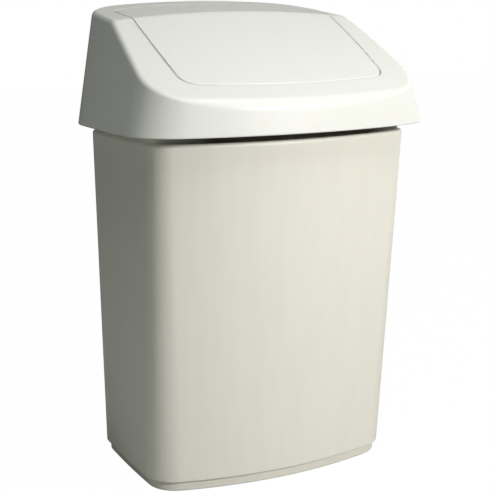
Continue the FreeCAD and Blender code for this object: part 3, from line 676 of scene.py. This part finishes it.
def groupNode(tree, key, **sockets):
    node = tree.nodes.new("ShaderNodeGroup")
    node.node_tree = groups[key]
    for label, value in sockets.items():
        if isinstance(value, bpy.types.NodeSocket):
            tree.links.new(value, node.inputs[label])
        else:
            node.inputs[label].default_value = value
    return node


def mixColour(tree, share, first, second):
    node = addNode(tree, "Mix", {"data_type": "RGBA"})
    for socket, value in ((node.inputs[0], share), (node.inputs[6], first), (node.inputs[7], second)):
        if isinstance(value, bpy.types.NodeSocket):
            tree.links.new(value, socket)
        else:
            socket.default_value = value
    return node.outputs[2]


def mouldedPlastic(name, look):
    material = bpy.data.materials.new(name)
    material.use_nodes = True
    tree = material.node_tree
    shader = tree.nodes["Principled BSDF"]
    place = addNode(tree, "TexCoord").outputs["Object"]
    mottle = groupNode(tree, "mottle", Vector=place, Flow=1.0, Specks=look["dust"])
    wearAndPaintedLight = groupNode(tree, "wearAndPaintedLight", Vector=place, Amount=look["wearAndPaintedLight"])
    grain = groupNode(tree, "grain", Vector=place, Scale=look["grainScale"])
    colour = mixColour(tree, mottle.outputs["Shade"], look["colour"], look["drift"])
    streaks = groupNode(tree, "streaks", Vector=place, Amount=look["streaks"])
    colour = mixColour(tree, streaks.outputs["Mask"], colour, look["streakColour"])
    # rubbed rims: a lighter colour, partly wear and partly a painted highlight
    colour = mixColour(tree, wearAndPaintedLight.outputs["Mask"], colour, look["wornAndPaintedLight"])
    colour = mixColour(tree, mottle.outputs["Dust"], colour, look["dustColour"])
    # painted shade: grooves and gaps are mixed towards near-black
    colour = mixColour(tree, wearAndPaintedLight.outputs["PaintedShade"], colour, look["paintedShade"])
    tree.links.new(colour, shader.inputs["Base Color"])
    rough = addNode(tree, "MapRange", Value=mottle.outputs["Shade"])
    rough.inputs["To Min"].default_value = look["rough"] - look["smoother"]
    rough.inputs["To Max"].default_value = look["rough"] + look["rougher"]
    polish = addNode(tree, "Math", {"operation": "MULTIPLY"}, n0=wearAndPaintedLight.outputs["Mask"], n1=look["polish"])
    final = addNode(tree, "Math", {"operation": "SUBTRACT"}, n0=rough.outputs[0], n1=polish.outputs[0])
    tree.links.new(final.outputs[0], shader.inputs["Roughness"])
    bump = addNode(tree, "Bump", Strength=look["grain"], Distance=0.0002, Height=grain.outputs["Height"])
    tree.links.new(bump.outputs["Normal"], shader.inputs["Normal"])
    shader.inputs["IOR"].default_value = 1.49
    return material


# the lighter rim colour is partly rubbing wear, partly a painted highlight; the near-black colour is painted
# shade
cream = {"colour": (0.80, 0.80, 0.76, 1), "drift": (0.78, 0.78, 0.74, 1), "wornAndPaintedLight": (0.86, 0.86, 0.83, 1),
         "streakColour": (0.76, 0.75, 0.69, 1), "streaks": 0.15, "dustColour": (0.60, 0.57, 0.51, 1),
         "paintedShade": (0.045, 0.034, 0.02, 1), "dust": 0.14, "wearAndPaintedLight": 0.6,
         "rough": 0.40, "smoother": 0.04, "rougher": 0.05, "polish": 0.10, "grain": 0.10,
         "grainScale": 900.0}
bucketCream = dict(cream, colour=(0.83, 0.81, 0.73, 1), drift=(0.81, 0.79, 0.705, 1), streaks=0.3,
                   streakColour=(0.76, 0.735, 0.645, 1), rough=0.43, grain=0.16, grainScale=700.0)
footCream = dict(cream, colour=(0.78, 0.76, 0.68, 1), drift=(0.76, 0.74, 0.65, 1), dust=0.35, rough=0.46)
pinWhite = dict(cream, colour=(0.82, 0.82, 0.80, 1), drift=(0.80, 0.80, 0.77, 1), rough=0.28, grain=0.03)

plasticHood = mouldedPlastic("plasticHood", cream)
plasticBucket = mouldedPlastic("plasticBucket", bucketCream)
plasticFoot = mouldedPlastic("plasticFoot", footCream)
plasticPin = mouldedPlastic("plasticPin", pinWhite)


def drawnSteel(name, look):
    # fine lines along the bar from a noise stretched by 40 along X, with a little rust dust
    material = bpy.data.materials.new(name)
    material.use_nodes = True
    tree = material.node_tree
    shader = tree.nodes["Principled BSDF"]
    place = addNode(tree, "TexCoord").outputs["Object"]
    stretched = addNode(tree, "Mapping", Vector=place, Scale=(0.025, 1.0, 1.0))
    lines = addNode(tree, "TexNoise", Vector=stretched.outputs[0], Scale=2600.0, Detail=3.0)
    mottle = groupNode(tree, "mottle", Vector=place, Flow=1.0, Specks=look["rust"])
    colour = mixColour(tree, lines.outputs[0], look["dark"], look["light"])
    colour = mixColour(tree, mottle.outputs["Dust"], colour, look["rustColour"])
    tree.links.new(colour, shader.inputs["Base Color"])
    rough = addNode(tree, "MapRange", Value=lines.outputs[0])
    rough.inputs["To Min"].default_value = look["smooth"]
    rough.inputs["To Max"].default_value = look["rough"]
    tree.links.new(rough.outputs[0], shader.inputs["Roughness"])
    bump = addNode(tree, "Bump", Strength=0.08, Distance=0.0001, Height=lines.outputs[0])
    tree.links.new(bump.outputs["Normal"], shader.inputs["Normal"])
    shader.inputs["Metallic"].default_value = 1.0
    return material


steel = drawnSteel("drawnSteel", {"dark": (0.45, 0.45, 0.46, 1), "light": (0.66, 0.66, 0.66, 1),
                                  "smooth": 0.24, "rough": 0.42,
                                  "rust": 0.5, "rustColour": (0.30, 0.20, 0.13, 1)})


def paint(piece, material):
    piece.data.materials.clear()
    piece.data.materials.append(material)


for piece in hoodParts:
    paint(piece, plasticHood)
for piece in flapParts:
    paint(piece, plasticHood)
paint(bucketShell, plasticBucket)
paint(footRing, plasticFoot)
for node, material in (("right_pivot_pin", plasticPin), ("left_pivot_pin", plasticPin),
                       ("counterweight_bar", steel)):
    for number in range(len(nodes[node].material_slots)):
        nodes[node].material_slots[number].material = material
print("materials:", len(bpy.data.materials))

# ---- floor, light and camera ----

studio = {"floorColour": (0.50, 0.50, 0.495, 1), "floorCloud": (0.48, 0.48, 0.475, 1),
          "floorRough": 0.7, "floorGlow": 1.012, "glowShare": 0.98, "world": (0.93, 1.0, 0.95, 1),
          "worldStrength": 0.05, "backdrop": 1.0, "halfFloor": 6.0}

floorMesh = bpy.data.meshes.new("studioFloor")
edge = studio["halfFloor"]
floorMesh.from_pydata([(-edge, -edge, 0), (edge, -edge, 0), (edge, edge, 0), (-edge, edge, 0)],
                      [], [(0, 1, 2, 3)])
studioFloor = bpy.data.objects.new("studioFloor", floorMesh)
scene.collection.objects.link(studioFloor)
floorLook = bpy.data.materials.new("paleFloor")
floorLook.use_nodes = True
tree = floorLook.node_tree
shader = tree.nodes["Principled BSDF"]
place = addNode(tree, "TexCoord").outputs["Object"]
cloud = addNode(tree, "TexNoise", Vector=place, Scale=3.0, Detail=3.0)
tree.links.new(mixColour(tree, cloud.outputs[0], studio["floorColour"], studio["floorCloud"]),
               shader.inputs["Base Color"])
shader.inputs["Roughness"].default_value = studio["floorRough"]
# the floor is seen nearly white, and throws back less light than that
glow = addNode(tree, "Emission", Strength=studio["floorGlow"], Color=(1, 1, 1, 1))
seen = addNode(tree, "LightPath")
mix = addNode(tree, "MixShader")
share = addNode(tree, "Math", {"operation": "MULTIPLY"}, n0=seen.outputs["Is Camera Ray"],
                n1=studio["glowShare"])
tree.links.new(share.outputs[0], mix.inputs[0])
tree.links.new(shader.outputs[0], mix.inputs[1])
tree.links.new(glow.outputs[0], mix.inputs[2])
tree.links.new(mix.outputs[0], tree.nodes["Material Output"].inputs["Surface"])
floorMesh.materials.append(floorLook)

world = bpy.data.worlds.new("studioWorld")
scene.world = world
world.use_nodes = True
tree = world.node_tree
sky = tree.nodes["Background"]
sky.inputs["Color"].default_value = studio["world"]
sky.inputs["Strength"].default_value = studio["worldStrength"]
backdrop = addNode(tree, "Background", Color=(1, 1, 1, 1), Strength=studio["backdrop"])
seen = addNode(tree, "LightPath")
mix = addNode(tree, "MixShader")
tree.links.new(seen.outputs["Is Camera Ray"], mix.inputs[0])
tree.links.new(sky.outputs[0], mix.inputs[1])
tree.links.new(backdrop.outputs[0], mix.inputs[2])
tree.links.new(mix.outputs[0], tree.nodes["World Output"].inputs["Surface"])

lamps = {
    "keyBox": {"from": (0.46, -1.42, 0.86), "size": 0.28, "power": 17.0, "colour": (1.0, 0.99, 0.965)},
    "topBox": {"from": (0.1, -0.6, 1.9), "size": 1.3, "power": 17.5, "colour": (0.97, 1.0, 0.98)},
    "rightBox": {"from": (1.57, 0.57, 0.575), "size": 1.3, "power": 6.0, "colour": (0.97, 1.0, 0.98)},
    "leftBox": {"from": (-1.64, 0.29, 0.25), "size": 1.0, "power": 2.2, "colour": (0.93, 1.0, 0.94)},
}
lampTarget = Vector((0.0, 0.0, 0.28))
for name, lamp in lamps.items():
    light = bpy.data.lights.new(name, "AREA")
    light.size = lamp["size"]
    light.energy = lamp["power"]
    light.color = lamp["colour"]
    holder = bpy.data.objects.new(name, light)
    holder.location = lamp["from"]
    holder.rotation_euler = (lampTarget - Vector(lamp["from"])).to_track_quat("-Z", "Y").to_euler()
    scene.collection.objects.link(holder)

view = {"from": (-0.5743, -1.1566, 0.5067), "heading": 0.458, "dip": 0.201, "roll": -0.012, "lens": 87.13}
heading, dip, roll = view["heading"], view["dip"], view["roll"]
ahead = Vector((np.sin(heading) * np.cos(dip), np.cos(heading) * np.cos(dip), -np.sin(dip)))
level = Vector((np.cos(heading), -np.sin(heading), 0.0))
upward = level.cross(ahead)
right = level * np.cos(roll) + upward * np.sin(roll)
top = upward * np.cos(roll) - level * np.sin(roll)
cameraData = bpy.data.cameras.new("studioCamera")
cameraData.lens = view["lens"]
cameraData.sensor_width = 36.0
cameraData.clip_start = 0.05
camera = bpy.data.objects.new("studioCamera", cameraData)
turn = Matrix((right, top, -ahead)).transposed()
camera.matrix_world = Matrix.Translation(view["from"]) @ turn.to_4x4()
scene.collection.objects.link(camera)
scene.camera = camera
scene.view_settings.view_transform = "Standard"
print("studio ready")
